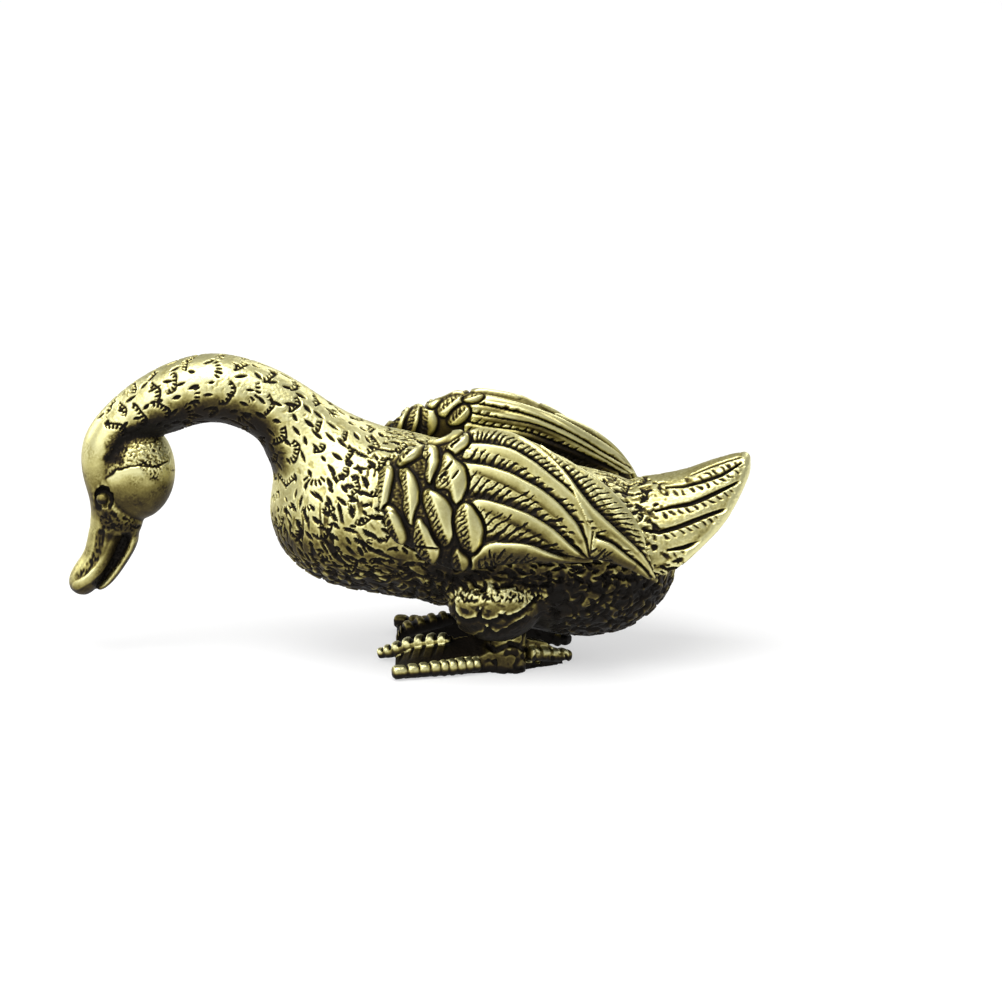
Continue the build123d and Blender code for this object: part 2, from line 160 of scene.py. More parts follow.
# Coverts at the front of the inner side
INNER_COVERTS = [
    [(389, 428), (392, 414), (400, 405), (409, 402), (411, 410), (406, 422), (400, 434)],
    [(404, 434), (407, 416), (413, 404), (420, 400), (424, 408), (420, 424), (414, 436)],
    [(417, 437), (422, 420), (421, 402), (430, 405), (436, 416), (436, 428), (430, 437)],
    [(424, 402), (430, 395), (440, 391), (438, 399), (432, 408)],
    [(436, 412), (440, 402), (450, 394), (460, 393), (464, 400), (454, 410), (444, 418)],
    [(446, 424), (452, 412), (464, 403), (470, 410), (466, 420), (456, 426)],
    [(462, 400), (468, 393), (480, 391), (484, 396), (472, 402)],
]

# Tail: dark grooves between its feathers, with their widths, and the width of the smooth rim
TAIL_GROOVES = [
    ([(640, 529), (658, 532), (676, 527), (695, 520), (714, 513), (731, 508)], 3.6),
    ([(655, 510), (670, 506), (689, 503), (705, 497), (720, 490), (739, 482)], 3.6),
    ([(666, 486), (682, 485), (701, 480), (720, 474), (741, 462)], 3.2),
    ([(667, 550), (682, 548), (695, 544), (708, 538)], 3.0),
    ([(690, 474), (708, 466), (728, 459), (740, 456)], 2.0),
]
TAIL_OUTLINE = [(752, 458), (754, 470), (746, 490), (732, 516), (716, 537), (696, 556), (680, 568),
                (668, 575)]
TAIL_RIM = 10.0

# Crack along the top of the cheek, crease between the cheek and the neck, and the cheek without marks
CHEEK_CRACK = [(109, 478), (117, 472), (123, 470), (136, 467), (144, 467), (153, 468), (161, 468), (168, 463)]
CHEEK_CREASE = [(116, 459), (118, 451), (122, 443), (128, 437), (140, 434), (152, 433), (164, 431),
                (178, 429)]
CHEEK = [(100, 452), (118, 440), (150, 434), (182, 426), (188, 470), (170, 500), (140, 520), (100, 480)]
# Eye: middle and radius of its socket, and how dark its bead is
EYE_PLACE = (104.8, 499.6)
EYE_RING = 9.0
BEAD_DARK = 0.26
# Middle of the upper bill's bright rim, and of the rough furrow beside it
BILL_RIM = [(118, 535), (113, 544), (108, 555), (99, 569), (88, 579), (76, 586)]
BILL_FURROW = [(101, 533), (99, 546), (95, 558), (88, 568), (79, 577)]
# Dark patches and their strengths: painted shade at the throat, the end of the crack, and painted shade in
# the gap of the mouth
HEAD_DARK_PATCHES = [
    ([(100, 516), (112, 511), (124, 515), (136, 520), (142, 526), (134, 531), (124, 530), (112, 530),
      (102, 530)], 0.44),
    ([(142, 461), (158, 461), (164, 470), (158, 483), (150, 478), (143, 470)], 0.22),
    ([(123, 534), (130, 533), (131, 540), (128, 550), (118, 564), (106, 578), (98, 587), (93, 584),
      (105, 570), (113, 555), (118, 545)], 0.75),
]
# Painted shade under the wing, and painted shade behind the thigh
WING_SHADE = [(424, 548), (450, 556), (520, 550), (590, 548), (620, 556), (664, 588), (650, 602), (600, 594),
              (540, 588), (520, 582), (480, 581), (456, 590), (430, 580)]
THIGH_SHADE = [(541, 586), (560, 583), (566, 600), (562, 622), (556, 642), (538, 642), (545, 612)]

# Row where the thigh's scales begin, and the scales' lower edges, of which the last is on the shank
SCALES_TOP = 603
THIGH_EDGES = [
    [(455, 598), (456, 609), (460, 615), (468, 618), (477, 616), (480, 610)],
    [(480, 610), (482, 617), (489, 619), (496, 617), (502, 613)],
    [(502, 613), (508, 615), (517, 612), (525, 606), (534, 597)],
    [(456, 618), (459, 627), (466, 632), (474, 634), (483, 631), (488, 625)],
    [(488, 626), (495, 631), (503, 628), (512, 623), (522, 617)],
    [(488, 645), (495, 650), (503, 647), (511, 644), (518, 645), (524, 649)],
]

# Toes of the left foot: middle line, lengths and sizes of the joints from the tip on, then the joints' width,
# height and share of their length, and the thickness of the core that carries them
OUTER_TOE = (
    [(-1.30, -7.35, 0.62), (5.50, -5.45, 0.72)],
    [1.18, 0.88, 0.88, 0.78, 0.62, 0.68, 0.66, 0.62, 0.55],
    [0.90, 0.96, 0.97, 1.06, 1.10, 1.12, 1.10, 1.02, 0.90],
    1.15, 1.18, 0.90, 0.80,
)
INNER_TOE = (
    [(-2.45, -1.80, 0.55), (-1.2, -2.10, 0.95), (0.5, -2.52, 1.60), (3.1, -3.20, 2.10)],
    [0.52, 0.55, 0.82, 0.90, 0.86, 0.90, 0.80],
    [0.66, 0.82, 0.94, 1.00, 1.02, 1.00, 0.90],
    1.40, 1.30, 0.72, 0.97,
)
HIND_TOE = (
    [(9.20, -4.55, 1.35), (12.20, -2.25, 0.62)],
    [0.95, 0.95, 1.00, 0.80],
    [1.00, 1.05, 1.05, 0.95],
    1.20, 1.10, 0.72, 0.97,
)
# Share of their length for the joints at the tip, and where along a toe its core ends
TIP_FILL = 0.96
CORE_END = 0.97

# The web ends behind the toes' tips: what lies ahead of this X is drawn in to this share
WEB_FRONT = 0.5
WEB_SHRINK = 0.72
# The far foot's inner toe is drawn back by this share ahead of this X
FAR_TIP = -0.6
FAR_SHRINK = 0.75

# Brass from dark patina to brushed metal; painted shade and painted highlights move along it too
BRASS_COLOURS = [
    (0.00, (0.006, 0.0045, 0.003)), (0.24, (0.018, 0.013, 0.008)), (0.42, (0.078, 0.060, 0.022)),
    (0.58, (0.220, 0.184, 0.056)), (0.76, (0.530, 0.478, 0.190)), (0.94, (0.800, 0.762, 0.395)),
]
# Floor: metres below the feet, and how much it glows where it is seen
FLOOR_GAP = 0.00002
FLOOR_GLOW = 0.55

# Softboxes: name, place and size in metres, and power in watts
LIGHT_AIM = (0.0, 0.0, 0.012)
SOFTBOXES = [
    ("top_softbox", (-0.05, -0.14, 0.42), (0.44, 0.30), 2.05),
    ("front_softbox", (-0.20, -0.48, 0.24), (0.34, 0.30), 0.5),
    ("left_softbox", (-0.42, -0.30, 0.30), (0.34, 0.32), 0.8),
    ("left_rear_softbox", (-0.42, 0.26, 0.18), (0.26, 0.20), 0.7),
    ("rear_softbox", (0.25, 0.45, 0.34), (0.30, 0.20), 0.6),
]
WORLD_STRENGTH = 0.37


def values_of(items, key, each, kind=np.int32):
    """The values of a mesh's items, one row for each item."""
    values = np.empty(len(items) * each, dtype=kind)
    items.foreach_get(key, values)
    return values.reshape(-1, each)


def node_arrays(name):
    """Points in millimetres and triangles of a CAD node."""
    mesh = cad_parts[name].data
    mesh.calc_loop_triangles()
    points = values_of(mesh.vertices, "co", 3, float) * MM_PER_M
    return points, values_of(mesh.loop_triangles, "vertices", 3)


def mesh_from(points, faces, name):
    """A mesh from arrays, in the unit of the points."""
    mesh = bpy.data.meshes.new(name)
    mesh.vertices.add(len(points))
    mesh.vertices.foreach_set("co", np.ascontiguousarray(points, dtype=np.float32).ravel())
    mesh.loops.add(faces.size)
    mesh.loops.foreach_set("vertex_index", np.ascontiguousarray(faces, dtype=np.int32).ravel())
    mesh.polygons.add(len(faces))
    mesh.polygons.foreach_set("loop_start", np.arange(0, faces.size, faces.shape[1], dtype=np.int32))
    mesh.update(calc_edges=True)
    return mesh


def added(name, data):
    """A new object in the scene."""
    made = bpy.data.objects.new(name, data)
    bpy.context.scene.collection.objects.link(made)
    return made


def remeshed(parts, voxel):
    """One closed mesh of even quads around all the given closed meshes."""
    starts = np.cumsum([0] + [len(points) for points, _ in parts[:-1]])
    faces = [part_faces + start for (_, part_faces), start in zip(parts, starts)]
    mesh = mesh_from(np.concatenate([points for points, _ in parts]), np.concatenate(faces), "source")
    source = added("source", mesh)
    remesh = source.modifiers.new("remesh", "REMESH")
    remesh.mode = "VOXEL"
    remesh.voxel_size = voxel
    remesh.adaptivity = 0
    result = source.evaluated_get(bpy.context.evaluated_depsgraph_get()).to_mesh()
    points = values_of(result.vertices, "co", 3, float)
    quads = values_of(result.loops, "vertex_index", 1).reshape(-1, 4)
    bpy.data.objects.remove(source)
    bpy.data.meshes.remove(mesh)
    return points, quads


def edges_of(faces):
    """The edges of quads, each once, as pairs of points."""
    pairs = np.concatenate([faces[:, [i, (i + 1) % 4]] for i in range(4)])
    pairs.sort(axis=1)
    count = faces.max() + 1
    keys = np.unique(pairs[:, 0].astype(np.int64) * count + pairs[:, 1])
    return np.stack([keys // count, keys % count], axis=1)


def smoothed(values, edges, rounds):
    """Values at points, averaged with their neighbours the given number of times."""
    count = len(values)
    ends = np.concatenate([edges[:, 0], edges[:, 1]])
    others = np.concatenate([edges[:, 1], edges[:, 0]])
    degree = np.maximum(np.bincount(ends, minlength=count), 1)
    columns = values.reshape(count, -1).T.copy()
    for _ in range(rounds):
        for i, column in enumerate(columns):
            around = np.bincount(ends, column[others], minlength=count) / degree
            columns[i] = 0.5 * column + 0.5 * around
    return columns.T.reshape(values.shape)


def normals_of(points, faces):
    """Normals at the points of a mesh of quads."""
    a, b, c, d = (points[faces[:, i]] for i in range(4))
    across = np.cross(c - a, d - b)
    normals = np.zeros_like(points)
    for i in range(4):
        for axis in range(3):
            normals[:, axis] += np.bincount(faces[:, i], across[:, axis], minlength=len(points))
    return normals / np.maximum(np.linalg.norm(normals, axis=1, keepdims=True), TINY)


def ramp(value, low, high):
    """0 below low, 1 above high, smooth between."""
    t = np.clip((value - low) / (high - low), 0, 1)
    return t * t * (3 - 2 * t)


def fade(value, low, high):
    """1 below low, 0 above high, smooth between."""
    return 1 - ramp(value, low, high)


def noise(points, size, seed):
    """Smooth noise from about -1 to 1 in two or three dimensions, with lumps of about the given size."""
    place = points / size
    cell = np.floor(place).astype(np.int64)
    part = place - cell
    blend = part * part * part * (part * (part * 6 - 15) + 10)
    dimensions = points.shape[1]
    total = np.zeros(len(points))
    for corner in np.ndindex(*(2,) * dimensions):
        corner = np.array(corner)
        lattice = cell + corner
        mixed = np.full(len(points), (SEED + seed) * HASH_START, dtype=np.int64)
        for axis in range(dimensions):
            mixed = (mixed ^ (lattice[:, axis] * HASH_PRIMES[axis])) * HASH_FACTOR + HASH_STEP
            mixed ^= mixed >> 15
        value = np.zeros(len(points))
        for axis in range(dimensions):
            slope = ((mixed >> (8 * axis + 3)) & 255) / 127.5 - 1
            value += slope * (part[:, axis] - corner[axis])
        total += np.prod(np.where(corner, blend, 1 - blend), axis=1) * value
    return total * 1.5


def picture(points, far=False):
    """Where points lie in the picture: as on the near side, or with far as on the far side."""
    depth = np.abs(points[:, 1]) * (1 if far else -1)
    up = math.cos(ELEVATION) * points[:, 2] + math.sin(ELEVATION) * depth
    return np.stack([PIXEL_X0 + PIXELS_PER_MM * points[:, 0], PIXEL_Y0 - PIXELS_PER_MM * up], axis=1)


def line_distance(places, line):
    """Distance to a line in the plane or in space, length along it, and whether a place lies below it."""
    line = np.asarray(line, dtype=float)
    best = np.full(len(places), np.inf)
    along = np.zeros(len(places))
    below = np.zeros(len(places), dtype=bool)
    start = 0.0
    for a, b in zip(line[:-1], line[1:]):
        run = b - a
        length = np.hypot.reduce(run)
        t = np.clip(((places - a) @ run) / length**2, 0, 1)
        distance = np.hypot.reduce(places - (a + t[:, None] * run), axis=1)
        nearer = distance < best
        best = np.where(nearer, distance, best)
        along = np.where(nearer, start + t * length, along)
        turn = run[0] * (places[:, 1] - a[1]) - run[1] * (places[:, 0] - a[0])
        below = np.where(nearer, turn > 0, below)
        start += length
    return best, along, below


def line_length(line):
    """Length of a line in the plane or in space."""
    return np.hypot.reduce(np.diff(line, axis=0), axis=1).sum()


def distance_to(places, line):
    """Distance to a line of points."""
    return line_distance(places, line)[0]


def near(places, line, low, high):
    """1 on a line of points, fading out between the two given distances."""
    return fade(distance_to(places, line), low, high)


def below_line(places, line):
    """Distance to a line of points, positive below it and negative above it."""
    distance, _, below = line_distance(places, line)
    return np.where(below, distance, -distance)


def rounded(line, rounds, closed=False):
    """A line with its corners cut the given number of times, so that it bends softly."""
    line = np.asarray(line, dtype=float)
    for _ in range(rounds):
        start = line if closed else line[:-1]
        ahead = np.roll(line, -1, axis=0) if closed else line[1:]
        softer = np.stack([0.75 * start + 0.25 * ahead, 0.25 * start + 0.75 * ahead], axis=1).reshape(-1, 2)
        line = softer if closed else np.concatenate([line[:1], softer, line[-1:]])
    return line


def inside(places, outline):
    """Whether places lie inside a closed outline."""
    outline = np.asarray(outline, dtype=float)
    result = np.zeros(len(places), dtype=bool)
    for a, b in zip(outline, np.roll(outline, -1, axis=0)):
        crosses = (a[1] > places[:, 1]) != (b[1] > places[:, 1])
        rise = b[1] - a[1] if b[1] != a[1] else TINY
        result ^= crosses & (places[:, 0] < (b[0] - a[0]) * (places[:, 1] - a[1]) / rise + a[0])
    return result


def inward(places, outline):
    """Distance to a closed outline, positive inside it and negative outside."""
    distance = distance_to(places, [*outline, outline[0]])
    return np.where(inside(places, outline), distance, -distance)


def patch(places, outline, soft):
    """1 inside an outline, fading out over a soft edge."""
    return ramp(inward(places, outline), -soft, soft)


def cut(places, start, end, width):
    """1 on a short straight cut that tapers at both ends, 0 beside it."""
    distance, along, _ = line_distance(places, [start, end])
    half = width / 2 * np.sqrt(np.clip(1 - (2 * along / math.dist(start, end) - 1) ** 2, 0.05, 1))
    return fade(distance, half * 0.5, half + 0.9)


def strokes(phase):
    """How far a phase lies from the middle of its stroke, from 0 to half a stroke."""
    return np.abs(phase - np.floor(phase) - 0.5)


# Wings

def feather(places, upper, lower, shaft, spacing, seed):
    """Height and darkness of a feather: smooth along its upper edge, then barbed, dark with painted shade at
    its lower edge.
    """
    upper, lower = rounded(upper, 1), rounded(lower, 1)
    within = inside(places, [*upper, *lower[::-1]])
    reach, along, _ = line_distance(places, upper)
    share = reach / np.maximum(reach + distance_to(places, lower), TINY)
    height = 1 - 0.20 * share + 0.30 * ramp(reach, 4, 12) * fade(share, 0.50, 0.88)
    height -= 0.62 * ramp(share, 0.72, 0.97)
    height *= 0.62 + 0.38 * ramp(reach, 0, 2.6)
    phase = (along + BARB_SLANT * reach) / spacing + 0.30 * noise(places, 10.0, seed)
    chance = np.modf(np.abs(np.sin(np.floor(phase) * 12.9898 + (SEED + seed)) * 4375.85))[0]
    swell = 0.55 + 0.45 * np.sin(math.pi * along / along.max())
    start = shaft * swell * (0.66 + 0.80 * chance)
    barbed = ramp(reach - start - 1.5 * noise(places, 7.0, seed + 2), 0, 4.0)
    width = 0.06 + 0.17 * share + 0.07 * noise(places, 5.0, seed + 1)
    cuts = fade(strokes(phase), width * 0.6, width * 1.5) * barbed
    foot = ramp(share + 0.14 * noise(places, 4.0, seed + 4), 0.68, 0.90)
    rough = barbed * ramp(noise(places, 2.2, seed + 3), 0.10, 0.45)
    height -= 0.28 * cuts + 0.08 * rough
    # Patina in the cuts and rough barbs; the darkness at the foot and towards the lower edge is painted shade
    dark = 0.50 * cuts + 0.42 * foot + 0.18 * rough + 0.14 * ramp(share, 0.15, 0.85)
    return np.where(within, np.clip(height, 0, HIGHEST), 0), np.where(within, dark, 0)


def leaf(places, outline, seed):
    """Height and darkness of a short feather: smooth on its right side, with barbs on its left side."""
    outline = rounded(outline, 2, closed=True)
    centre = outline.mean(axis=0)
    axis = np.linalg.svd(outline - centre)[2][0]
    side = np.array([abs(axis[1]), -axis[0] * np.sign(axis[1])])
    half = np.abs((outline - centre) @ side).max()
    signed = inward(places, outline) + LEAF_RIM
    rise = np.clip(signed / LEAF_SHOULDER, 0, 1)
    across = ((places - centre) @ side) / half
    along = (places - centre) @ axis
    rough = ramp(-across, -0.15, 0.25)
    phase = (along + 0.6 * across * half) / 5.2 + 0.45 * noise(places, 6.0, seed)
    stroke = fade(strokes(phase), 0.10, 0.26)
    marks = rough * np.clip(stroke + 0.7 * ramp(noise(places, 2.6, seed + 1), 0, 0.35), 0, 1) * rise
    form = np.sqrt(1 - (1 - rise) ** 2) * (1 - 0.22 * rough) - 0.26 * marks
    dark = 0.28 * marks + 0.17 * rough + 0.22 * fade(signed, 0.8, 3.2)
    return signed, np.where(signed > 0, np.clip(form, 0.02, 1), 0), dark


def plumage(places, height, dark, feathers, leaves, seed, leaf_seed, share=1.0, lift=0.0):
    """Height and darkness with feathers over what is there, then leaves, each in a dark furrow."""
    for i, (upper, lower, shaft, spacing) in enumerate(feathers):
        form, shade = feather(places, upper, lower, shaft, spacing, seed + 10 * i)
        dark = np.where(form > height, share * shade - lift, dark)
        height = np.maximum(height, form)
    for i, outline in enumerate(leaves):
        signed, form, shade = leaf(places, outline, leaf_seed + i)
        beside = ramp(-signed, 0.2, 2.8)
        dark = np.where(signed > 0, shade, np.maximum(dark, 0.42 * (1 - beside)))
        height = np.where(signed > 0, form, height * beside)
    return height, dark


def wing_relief(points, normals):
    """How far each point of the left wing moves outward, and how much darker it is."""
    outer = picture(points)
    ground = outer[:, 0] < COVERTS_END
    height = np.where(ground, 0.20 + 0.22 * noise(outer, 2.6, 5), 0)
    height, dark = plumage(outer, height, np.where(ground, 0.30, 0.10), FLIGHT_FEATHERS, COVERTS, 0, 200)
    for start, end, width in COVERT_CUTS:
        mark = cut(outer, start, end, width)
        height -= 0.45 * mark
        dark += 0.30 * mark
    inner = picture(points, far=True)
    back, back_dark = np.zeros(len(points)), np.full(len(points), 0.12)
    back, back_dark = plumage(inner, back, back_dark, INNER_FEATHERS, INNER_COVERTS, 300, 350, 0.65, 0.03)
    px, py = inner.T
    # Painted shade on the lower part of the inner side, under its front coverts and along its rear feathers
    back_dark += 0.38 * ramp(py, 412, 428) * fade(px, 424, 434)
    back_dark += 0.36 * ramp(py - 0.55 * (px - 540), 420, 432) * ramp(px, 510, 550)
    side = ramp(normals[:, 1], -0.15, 0.25)
    moved = (1 - side) * (0.44 * np.clip(height, 0, HIGHEST) - 0.34) + side * (0.36 * back - 0.28)
    return moved, (1 - side) * dark + side * back_dark


def rib_share(points):
    """How much of the wing's hard edges is smoothed away: more in its small feathers."""
    return 0.95 - 0.40 * ramp(picture(points)[:, 0], 468, 486)


# Trunk, head, tail and thighs

def flow_of(points):
    """For each point the direction along the trunk towards the tail, and the length along the centre line."""
    line = np.asarray(CENTRE_LINE)
    middle = (line[:-1] + line[1:]) / 2
    run = line[:-1] - line[1:]
    length = np.hypot(run[:, 0], run[:, 1])
    reach = np.cumsum(length) - length / 2
    gap = points[:, None, [0, 2]] - middle[None]
    far = (gap**2).sum(axis=2)
    weight = length * np.exp(-(far - far.min(axis=1, keepdims=True)) / FLOW_BLEND)
    weight /= weight.sum(axis=1, keepdims=True)
    flow = np.zeros_like(points)
    flow[:, [0, 2]] = weight @ (run / length[:, None])
    return flow / np.linalg.norm(flow, axis=1, keepdims=True), weight @ reach


def scattered(points, chance, spacing, seed):
    """Indices of points spread at least the given spacing apart, where chance allows."""
    draw = np.random.RandomState(SEED + seed)
    order = draw.permutation(len(points))[:MOST_TRIES]
    order = order[draw.random_sample(len(order)) < chance[order]]
    taken = {}
    chosen = []
    for index in order:
        place = points[index]
        cell = tuple(np.floor(place / spacing).astype(int))
        close = [p for dx in (-1, 0, 1) for dy in (-1, 0, 1) for dz in (-1, 0, 1)
                 for p in taken.get((cell[0] + dx, cell[1] + dy, cell[2] + dz), ())]
        if all((place - p) @ (place - p) > spacing**2 for p in close):
            taken.setdefault(cell, []).append(place)
            chosen.append(index)
    return chosen


def stamped(points, normals, flow, tree, centres, radius, turn, shape, seed):
    """The deepest of a shape stamped at many centres, each turned at random up to the given angle."""
    draw = np.random.RandomState(SEED + seed)
    depth = np.zeros(len(points))
    for index in centres:
        hits = np.array([hit[1] for hit in tree.find_range(Vector(points[index]), radius)])
        normal = normals[index]
        along = flow[index] - normal * (flow[index] @ normal)
        along /= max(np.linalg.norm(along), TINY)
        side = np.cross(normal, along)
        angle = draw.uniform(-turn, turn)
        gap = points[hits] - points[index]
        u = gap @ (along * math.cos(angle) + side * math.sin(angle))
        v = gap @ (side * math.cos(angle) - along * math.sin(angle))
        facing = ramp(normals[hits] @ normal, 0.2, 0.5)
        depth[hits] = np.maximum(depth[hits], shape(u, v, draw) * facing)
    return depth


def scallop(u, v, draw):
    """Curved edge of a small round feather, fringed with short dashes, open towards the head."""
    size = draw.uniform(0.75, 1.30)
    phase = draw.uniform(0, 1)
    spread = draw.uniform(0.65, 1.25)
    shift = u + size * 0.35
    angle = np.arctan2(v, shift)
    reach = np.hypot(shift, v) * (1 + 0.06 * np.sin(5 * angle + 6 * phase))
    within = fade(np.abs(angle - draw.uniform(-0.4, 0.4)), spread - 0.10, spread + 0.05)
    rim = fade(np.abs(reach - size), 0.05, 0.12) * draw.choice([0.0, 0.7, 1.0])
    pitch = 0.40 / size
    dashes = np.abs((angle / pitch + phase) % 1 - 0.5) * pitch * reach
    start = size - draw.uniform(0.30, 0.46) + 0.05 * np.sin(17 * angle + 9 * phase)
    dash = fade(dashes, 0.06, 0.12) * ramp(reach, start, start + 0.08)
    dash *= fade(reach, size + 0.03, size + 0.12)
    return np.maximum(rim, dash) * within


def lens(u, v, draw):
    """A short dash, wide in the middle and pointed at both ends."""
    half = draw.uniform(0.26, 0.58)
    width = draw.uniform(0.10, 0.18)
    edge = width * (1 - (u / half) ** 2)
    return fade(np.abs(v) - edge, -0.04, 0.05) * (np.abs(u) < half * 1.1)


def gouge(u, v, draw):
    """A dark leaf-shaped hollow with a ragged edge."""
    half = draw.uniform(0.24, 0.66)
    width = draw.uniform(0.10, 0.23)
    ragged = 0.45 * np.sin(11 * u / half + 6 * draw.uniform()) * np.sin(7 * v / width + 6 * draw.uniform())
    edge = width * (1 - (u / half) ** 2) * (1 + ragged)
    return fade(np.abs(v) - edge, -0.05, 0.05) * (np.abs(u) < half * 1.1)


def crescent(u, v, draw):
    """Dark crescent under the rounded tip of a small overlapping scale."""
    size = draw.uniform(0.50, 0.90)
    shift = u + size * 0.5
    angle = np.abs(np.arctan2(v, shift))
    width = draw.uniform(0.10, 0.22) * fade(angle, 0.5, 1.2)
    return fade(np.abs(np.hypot(shift, v) - size) - width, -0.05, 0.06) * (angle < 1.25)


def trunk_relief(points, normals):
    """How far each point of all but the wings, eyes and feet moves outward, and how much darker it is."""
    flow, reach = flow_of(points)
    place = picture(points)
    tree = KDTree(len(points))
    for i, point in enumerate(points):
        tree.insert(point, i)
    tree.balance()

    def marks(shape, chance, spacing, radius, turn, seed):
        centres = scattered(points, chance, spacing, seed)
        return stamped(points, normals, flow, tree, centres, radius, turn, shape, seed + 1)

    x, y, z = points.T
    outward = np.abs(y)
    beside = np.abs(x - THIGH_X)
    root, nape = (line_length(CENTRE_LINE[: last + 1]) for last in (NECK_ROOT, NAPE))
    tail = ramp(x, 17.6, 19.2) * ramp(z - 0.5 * (x - 18), 7.4, 8.2)
    tail = np.maximum(tail, ramp(x, 20.9, 21.5))
    thigh = ramp(7.6 - z, 0, 0.8) * ramp(outward, 4.2, 5.2) * fade(beside, 3.8, 4.5)
    shin = ramp(4.5 - z, 0, 0.5) * ramp(outward, 2.2, 2.9) * fade(beside, 4.0, 4.7)
    thigh = np.maximum(thigh, shin)
    neck = ramp(reach, root - 5.0, root - 1.0) * fade(reach, nape - 0.6, nape + 0.9)
    face = ramp(reach, nape - 0.3, nape + 1.2)
    trunk = (1 - face) * (1 - thigh) * (1 - tail)
    low = ramp(9.2 - z, 0, 1.8) * trunk
    front = trunk * (1 - neck) * (1 - low)

    # Marks of the neck and the back
    arcs = marks(scallop, neck + 0.30 * front, 1.65, 1.8, 0.45, 1)
    lenses = marks(lens, 0.85 * neck + 0.5 * front, 1.00, 0.70, 0.55, 3)
    gouges = marks(gouge, ramp(root + 1.5 - reach, 0, 3.5) * front, 0.82, 0.85, 0.85, 11)
    carving = np.maximum(np.maximum(arcs, lenses), gouges) * (1 - thigh) * (1 - tail)
    carving *= 1 - patch(place, CHEEK, 3.0) * (x < HEAD_X)
    relief = -0.19 * carving
    # Faces of the neck that look down get painted shade; the neck is otherwise a little lighter
    dark = 0.42 * carving + 0.32 * neck * ramp(-normals[:, 2], -0.30, 0.35) - 0.05 * neck

    # Pits, drawn out along the trunk
    stretched = points - 0.55 * flow * (points * flow).sum(axis=1, keepdims=True)
    pits = ramp(noise(stretched, 0.42, 5), 0.10, 0.34)
    broad = noise(points, 1.9, 7)
    rough = np.clip(front * ramp(broad, -0.5, 0.2) + 0.30 * neck * ramp(broad, 0.1, 0.5), 0, 1)
    relief -= 0.12 * pits * rough
    dark += 0.30 * pits * rough + 0.08 * front

    # Scales and lumps of the belly, and the shade under the wing and behind the thigh
    scales = marks(crescent, low, 1.05, 1.35, 0.7, 8)
    lumps = ramp(noise(points, 0.85, 10), -0.25, 0.35)
    relief -= low * (0.16 * scales + 0.16 * (1 - lumps) + 0.12 * pits)
    dark += low * (0.20 * scales + 0.14 * (1 - lumps) + 0.14 * pits - 0.06)
    dark += 0.50 * patch(place, THIGH_SHADE, 6.0) * (1 - thigh) * trunk
    dark += (0.34 + 0.20 * noise(points, 0.35, 13)) * patch(place, WING_SHADE, 7.0) * trunk

    thigh_moved, thigh_dark = thigh_relief(points, place, pits)
    tail_moved, tail_dark = tail_relief(points, normals, place)
    head_moved, head_dark = head_relief(points, place)
    fine = noise(points, 0.2, 6)
    relief += thigh_moved * thigh + tail_moved * tail + head_moved + 0.018 * fine * (1 - 0.75 * face)
    # Parts lower than 4.5 mm get painted shade
    dark += thigh_dark * thigh + tail_dark * tail + head_dark + 0.20 * ramp(4.5 - z, 0, 2.5)
    return relief, dark


def thigh_relief(points, place, pits):
    """Rows of large scales, with a rough patch above them."""
    py = place[:, 1]
    relief, dark = np.zeros((2, len(points)))
    for i, line in enumerate(THIGH_EDGES):
        signed = below_line(place, line) + noise(place, 4.5, 30 + i)
        hollow = ramp(signed, -0.6, 0.8) * fade(signed, 1.5, 6.0)
        lip = ramp(-signed, -0.2, 0.8) * fade(-signed, 1.5, 5.0)
        relief += 0.07 * lip - 0.17 * hollow
        dark += 0.34 * hollow - 0.14 * lip
    spikes = ramp(noise(points * np.array([1.0, 1.0, 0.6]), 0.22, 40), -0.1, 0.25)
    above = ramp(SCALES_TOP + 2.5 * noise(place, 3.5, 41) - py, 0, 4)
    relief -= 0.16 * spikes * above + 0.04 * pits
    # The rough patch is made lighter between its spikes, and the scales darken towards the bottom as painted
    # shade
    dark += above * (0.45 * spikes - 0.20) + 0.12 * pits - 0.01 + 0.07 * ramp(py, 610, 634)
    return relief, dark


